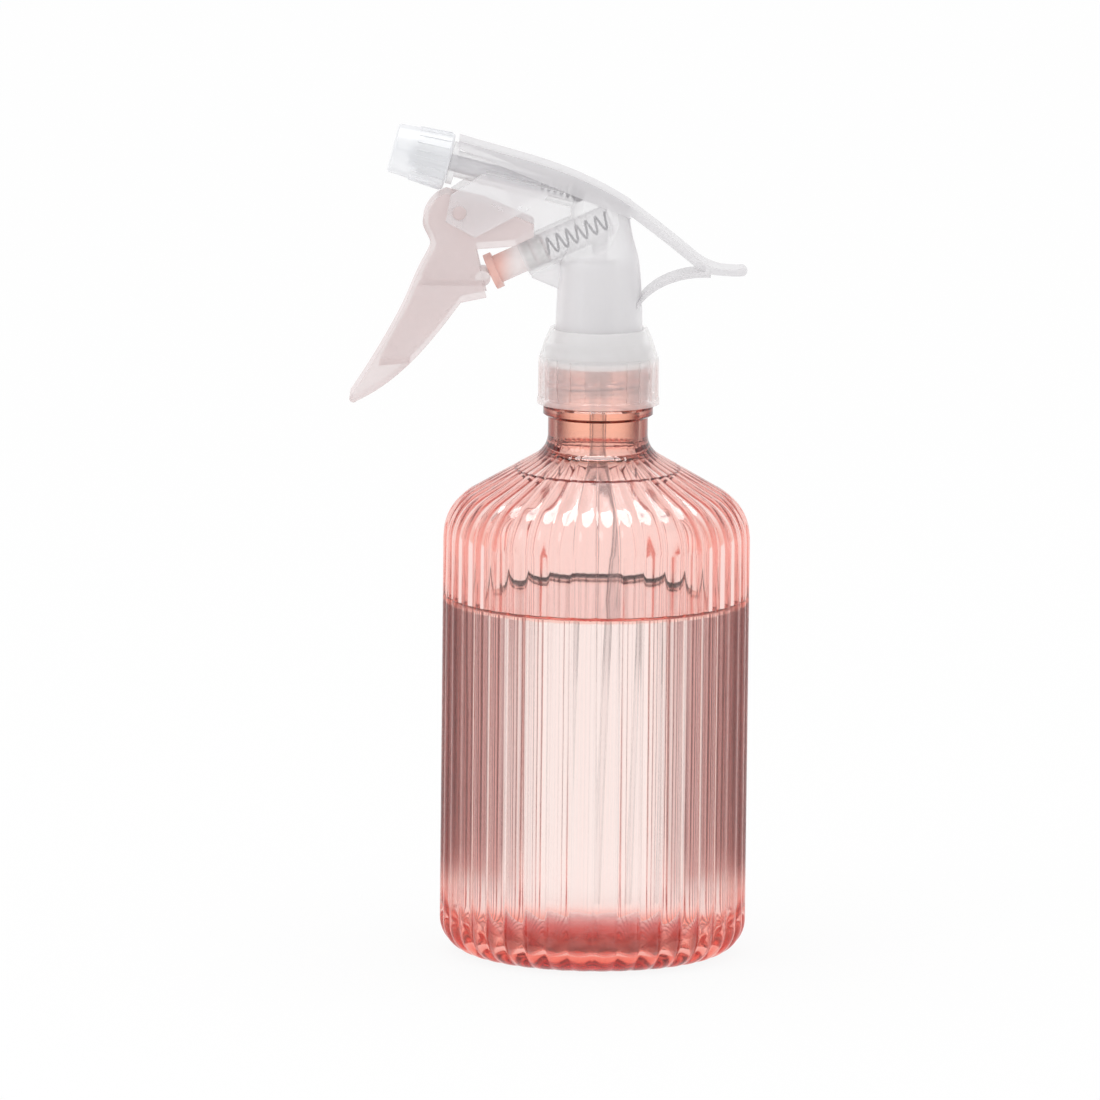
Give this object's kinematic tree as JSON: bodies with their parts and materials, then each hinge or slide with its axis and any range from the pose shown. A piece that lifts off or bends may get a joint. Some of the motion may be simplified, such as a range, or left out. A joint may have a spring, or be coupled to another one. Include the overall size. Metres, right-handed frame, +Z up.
{
  "type": "hand mister",
  "caption": "Trigger spray bottle: fluted see-through bottle, screw neck, sprayer head with trigger, piston pump, dip tube and screw-adjusted nozzle.",
  "frame": {"origin": "centre of the ring that the bottle stands on, on the bottle's axis", "axes": "+Z up along the bottle's axis, the nozzle points towards -X, the trigger moves in the XZ plane"},
  "size_m": [0.1045, 0.0798, 0.2169],
  "materials": {
    "bottle_clear_coral": "clear, tinted coral, polished",
    "closure_clear": "clear natural, satin",
    "gasket_white": "soft foam, matt",
    "sprayer_white": "frosted natural, satin",
    "steel": "bright drawn",
    "tube_clear": "clear natural, satin",
    "piston_pink": "frosted, tinted salmon",
    "seal_white": "soft, matt",
    "nozzle_clear": "frosted natural, satin",
    "trigger_pink": "frosted, slightly rose, satin",
    "shroud_clear": "frosted natural, satin"
  },
  "bodies": {
    "bottle": {"bottle": "bottle_clear_coral"},
    "head": {"neck_gasket": "gasket_white", "tube_holder": "sprayer_white", "dip_tube": "tube_clear", "pump_body": "sprayer_white", "shroud": "shroud_clear", "nozzle_core": "sprayer_white", "return_spring": "steel", "outlet_spring": "steel"},
    "closure": {"screw_closure": "closure_clear"},
    "trigger": {"trigger": "trigger_pink"},
    "piston": {"piston": "piston_pink", "piston_seal": "seal_white", "vent_seal": "seal_white"},
    "inlet_ball": {"inlet_ball": "steel"},
    "outlet_ball": {"outlet_ball": "steel"},
    "nozzle_slider": {"nozzle_seal": "gasket_white"},
    "nozzle_cap": {"nozzle_cap": "nozzle_clear"}
  },
  "joints": [
    {"name": "head_rise", "type": "slide", "parent": "bottle", "child": "head", "axis": [0, 0, 1], "range_m": [0, 0.0047]},
    {"name": "closure_turn", "type": "hinge", "parent": "head", "child": "closure", "pos_m": [0, 0, 0.15], "axis": [0, 0, 1], "range_deg": [0, 400]},
    {"name": "trigger_squeeze", "type": "hinge", "parent": "head", "child": "trigger", "pos_m": [-0.0365, 0, 0.19482], "axis": [0, -1, 0], "range_deg": [0, 22], "stiffness_Nm_per_rad": 0.25, "springref_deg": -22.92},
    {"name": "piston_stroke", "type": "slide", "parent": "head", "child": "piston", "axis": [0.9078, 0, 0.4195], "range_m": [0, 0.00716], "deforming": ["return_spring"]},
    {"name": "inlet_ball_lift", "type": "slide", "parent": "head", "child": "inlet_ball", "axis": [0, 0, 1], "range_m": [0, 0.0012]},
    {"name": "outlet_ball_lift", "type": "slide", "parent": "head", "child": "outlet_ball", "axis": [-0.9703, 0, 0.2419], "range_m": [0, 0.0012], "stiffness_N_per_m": 20, "springref_m": -0.002, "deforming": ["outlet_spring"]},
    {"name": "nozzle_advance", "type": "slide", "parent": "head", "child": "nozzle_slider", "axis": [-0.9703, 0, 0.2419], "range_m": [0, 0.0015]},
    {"name": "nozzle_turn", "type": "hinge", "parent": "nozzle_slider", "child": "nozzle_cap", "pos_m": [-0.04808, 0, 0.20926], "axis": [-0.9703, 0, 0.2419], "range_deg": [0, 360]}
  ],
  "couplings": [
    {"joint": "closure_turn", "follows": "head_rise", "rad_per_m": 1485.4},
    {"joint": "piston_stroke", "follows": "trigger_squeeze", "m_per_rad": 0.018385},
    {"joint": "nozzle_turn", "follows": "nozzle_advance", "rad_per_m": 4188.8}
  ]
}
